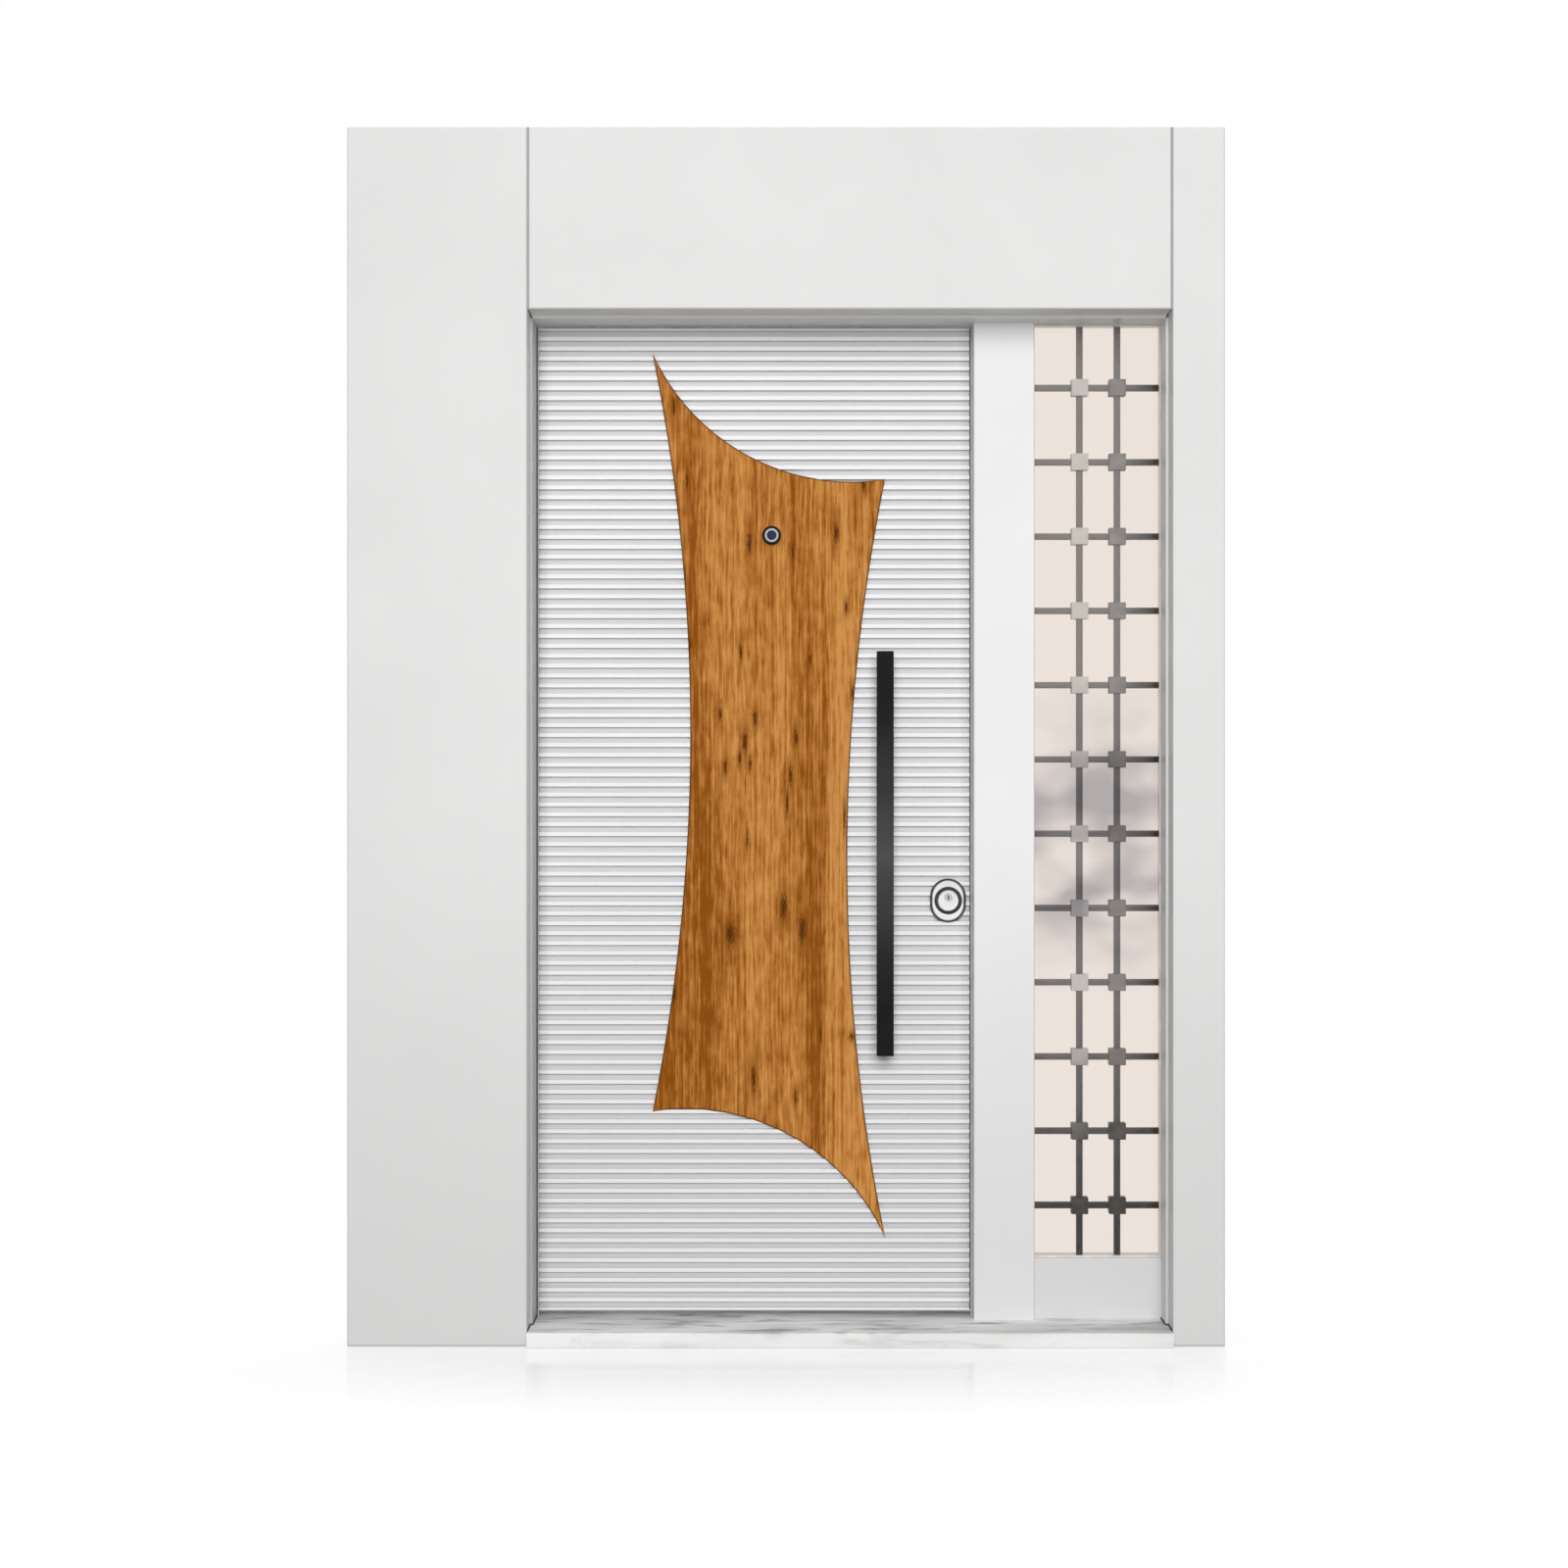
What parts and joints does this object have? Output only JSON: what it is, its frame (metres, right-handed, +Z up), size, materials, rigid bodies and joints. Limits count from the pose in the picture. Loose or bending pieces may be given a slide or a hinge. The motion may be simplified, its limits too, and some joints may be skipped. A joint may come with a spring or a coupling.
{
  "type": "steel entrance door with sidelight",
  "caption": "Steel entrance door set: fluted white leaf with a curved timber inlay and pull bar, barred glass sidelight, folded frame, facings and marble threshold",
  "frame": {"origin": "underside of the threshold, in the plane of the wall face, at the middle of the clear opening", "axes": "+X to the right seen from outside, +Y into the house, +Z up"},
  "size_m": [1.732, 0.275, 2.405],
  "materials": {
    "facing_paint": "satin off-white paint",
    "rail_steel": "plain galvanised",
    "marble": "honed, grey veins",
    "frame_paint": "satin white paint",
    "panel_lacquer": "white lacquer",
    "timber": "satin varnish, upright grain",
    "clear_glass": "clear, polished",
    "grille_steel": "dark grey satin",
    "rubber": "matt",
    "black_coating": "satin black",
    "polished_chrome": "polished",
    "satin_steel": "satin"
  },
  "bodies": {
    "frame": {"left_facing": "facing_paint", "right_facing": "facing_paint", "head_facing": "facing_paint", "left_facing_rails": "rail_steel", "right_facing_rails": "rail_steel", "head_facing_rails": "rail_steel", "threshold": "marble", "hinge_jamb": "frame_paint", "sidelight_jamb": "frame_paint", "frame_head": "frame_paint", "mullion": "frame_paint", "strike_plate": "satin_steel", "sidelight_panel": "frame_paint", "sidelight_glass": "clear_glass", "glazing_gasket": "rubber", "glazing_bead": "frame_paint", "sidelight_grille": "grille_steel", "frame_seal": "rubber", "lower_hinge_on_frame": "satin_steel", "middle_hinge_on_frame": "satin_steel", "upper_hinge_on_frame": "satin_steel"},
    "leaf": {"fluted_panel": "panel_lacquer", "outer_tray": "frame_paint", "inner_tray": "frame_paint", "inner_panel": "panel_lacquer", "wood_inlay": "timber", "bottom_sweep": "rubber", "lock_faceplate": "satin_steel", "lock_bolts": "satin_steel", "pull_bar": "black_coating", "pull_standoffs": "black_coating", "lock_escutcheon": "polished_chrome", "lock_collar": "black_coating", "lock_dome": "polished_chrome", "viewer_flange": "black_coating", "viewer_lens": "clear_glass", "viewer_eyepiece": "polished_chrome", "handle_plate": "satin_steel", "inner_cylinder": "satin_steel", "inside_lever": "satin_steel", "lower_hinge_on_leaf": "satin_steel", "middle_hinge_on_leaf": "satin_steel", "upper_hinge_on_leaf": "satin_steel"},
    "lock_plug": {"lock_plug": "satin_steel"}
  },
  "joints": [
    {"name": "leaf_swing", "type": "hinge", "parent": "frame", "child": "leaf", "pos_m": [-0.652, 0.162, 1.04], "axis": [0, 0, 1], "range_deg": [0, 110]},
    {"name": "plug_turn", "type": "hinge", "parent": "leaf", "child": "lock_plug", "pos_m": [0.2025, 0.061, 0.8794], "axis": [0, -1, 0], "continuous": true}
  ]
}
